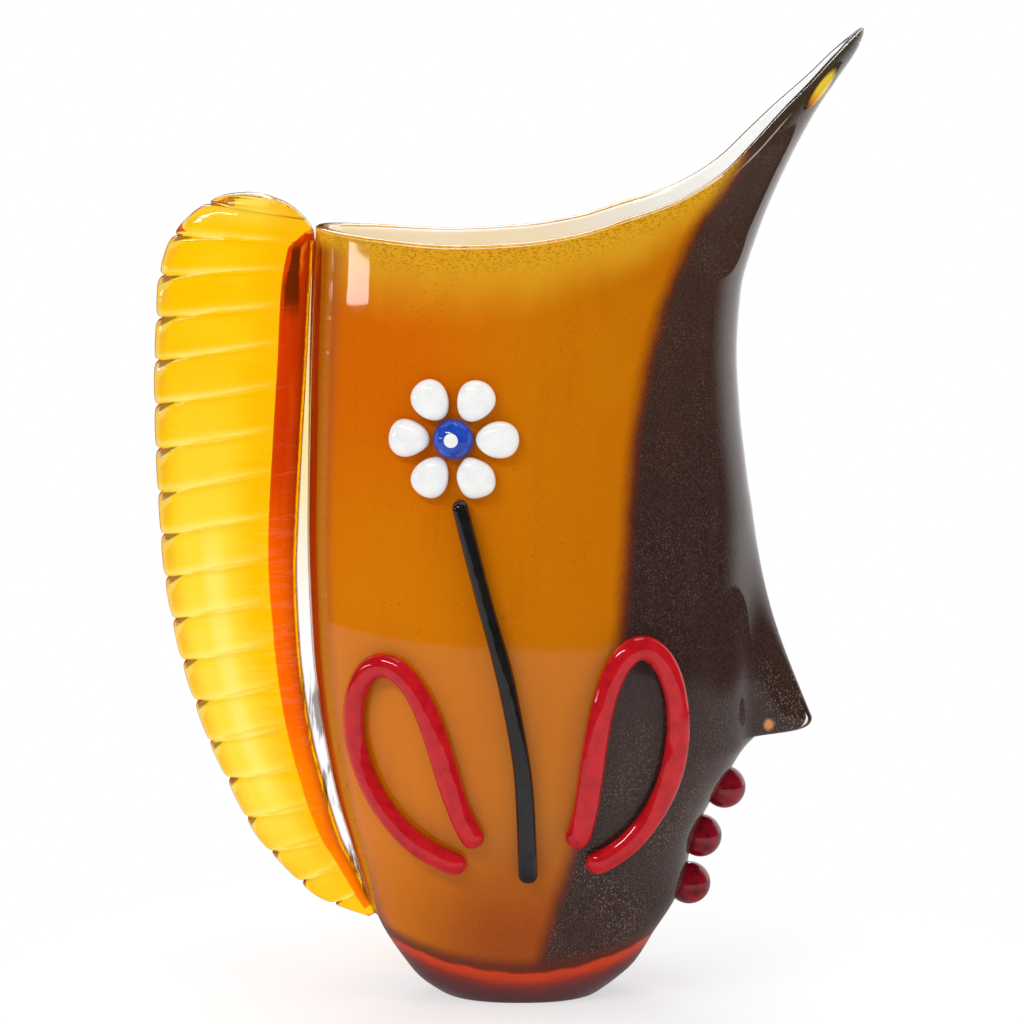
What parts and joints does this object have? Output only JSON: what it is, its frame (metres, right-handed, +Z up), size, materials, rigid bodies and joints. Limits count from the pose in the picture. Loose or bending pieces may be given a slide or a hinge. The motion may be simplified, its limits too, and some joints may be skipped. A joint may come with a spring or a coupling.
{
  "type": "glass vase",
  "caption": "Tall oval art-glass vase with a pointed spout, a spur below it, a ribbed crest down the other edge and a hot-glass flower on each broad side.",
  "frame": {"origin": "centre of the ground foot, on the table", "axes": "+Z up; +X towards the spout and the spur, so the crest is at -X; Y through the broad sides. Names that end in _front are on the -Y side, which is the side pictured, and names that end in _back on the +Y side. Left and right in a name are as seen in the picture."},
  "size_m": [0.3044, 0.1352, 0.42],
  "materials": {
    "clear": "clear, fire-polished",
    "amber": "opaque over the lining, glossy",
    "dark": "deep aubergine with gold specks, glossy",
    "opal": "opaque white, glossy",
    "foot_red": "red and orange streaks under clear, glossy",
    "crest_yellow": "translucent yellow, glossy",
    "root_orange": "translucent orange, glossy",
    "white": "opaque, glossy",
    "blue": "opaque, glossy",
    "black": "opaque, glossy",
    "red": "opaque, glossy",
    "ruby": "dark and translucent, glossy"
  },
  "bodies": {
    "root": {"clear_casing": "clear", "amber_wall": "amber", "dark_wall": "dark", "opal_lining": "opal", "foot_gather": "foot_red", "crest_blade": "crest_yellow", "crest_root": "root_orange", "crest_seam": "clear", "stem_front": "black", "leaf_left_front": "red", "leaf_right_front": "red", "flower_centre_front": "blue", "flower_pip_front": "white", "petal_front_1": "white", "petal_front_2": "white", "petal_front_3": "white", "petal_front_4": "white", "petal_front_5": "white", "petal_front_6": "white", "stem_back": "black", "leaf_left_back": "red", "leaf_right_back": "red", "flower_centre_back": "blue", "flower_pip_back": "white", "petal_back_1": "white", "petal_back_2": "white", "petal_back_3": "white", "petal_back_4": "white", "petal_back_5": "white", "petal_back_6": "white", "bead_upper": "ruby", "bead_middle": "ruby", "bead_lower": "ruby"}
  },
  "joints": []
}
